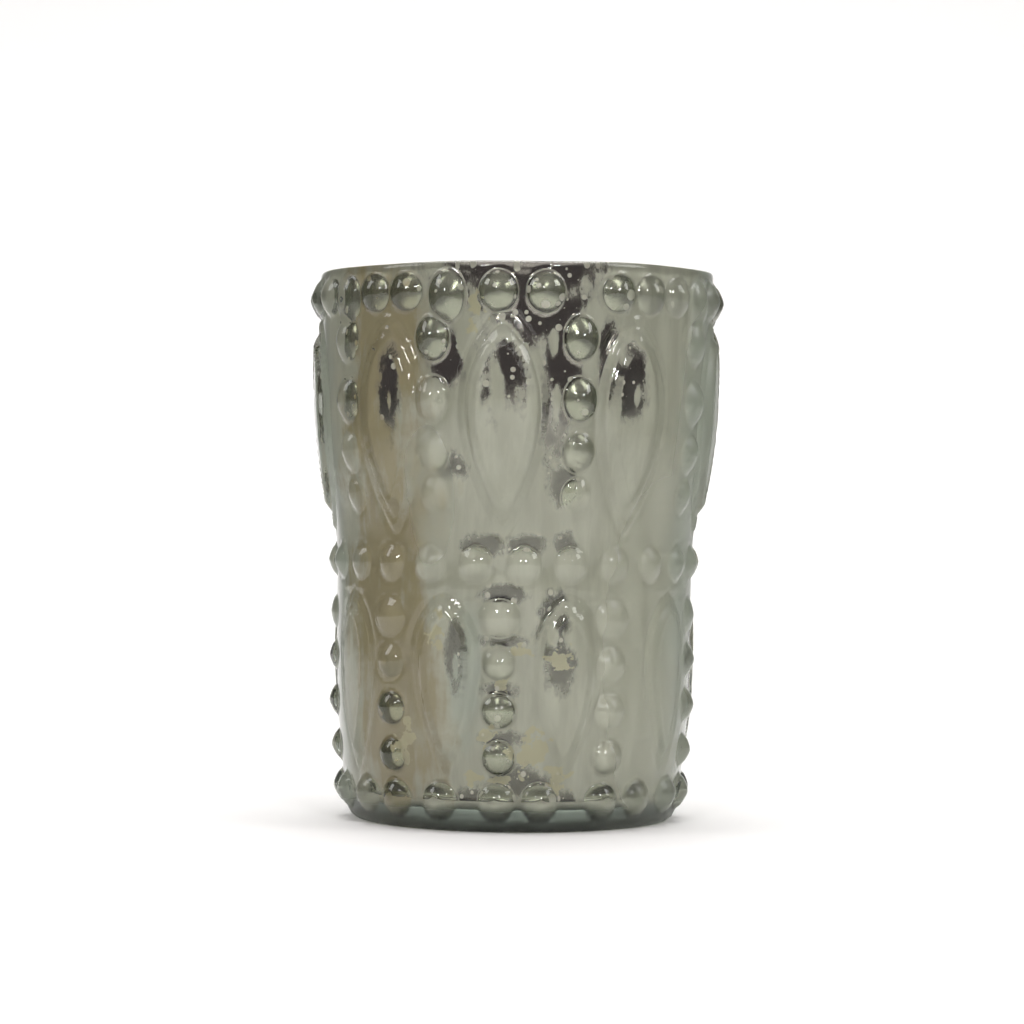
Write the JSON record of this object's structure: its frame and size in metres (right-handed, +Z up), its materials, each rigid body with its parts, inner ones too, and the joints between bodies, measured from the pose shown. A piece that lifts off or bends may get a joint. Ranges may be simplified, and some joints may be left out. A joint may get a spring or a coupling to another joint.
{
  "type": "tealight holder",
  "caption": "Round tumbler-shaped tealight holder in silvered, mould-blown glass with raised beads and petals, holding a loose tealight in a metal cup.",
  "frame": {"origin": "middle of the base, on the plane that the holder stands on", "axes": "+Z up along the holder's axis, -Y towards the front; the pattern repeats every third of a turn"},
  "size_m": [0.0724, 0.0722, 0.095],
  "materials": {
    "moulded_glass": "glossy, aged and cloudy",
    "silvering": "foxed antique silver",
    "cup_aluminium": "drawn satin",
    "wax": "waxy, softly frosted",
    "sustainer_steel": "tinned, satin",
    "wick_cotton": "waxed braided cotton"
  },
  "bodies": {
    "holder": {"glass_tumbler": "moulded_glass", "silvered_lining": "silvering"},
    "tealight": {"tealight_cup": "cup_aluminium", "wax_fill": "wax", "wick_sustainer": "sustainer_steel", "wick": "wick_cotton"}
  },
  "joints": [
    {"name": "tealight_lift", "type": "slide", "parent": "holder", "child": "tealight", "axis": [0, 0, 1], "range_m": [0, 0.105]}
  ]
}
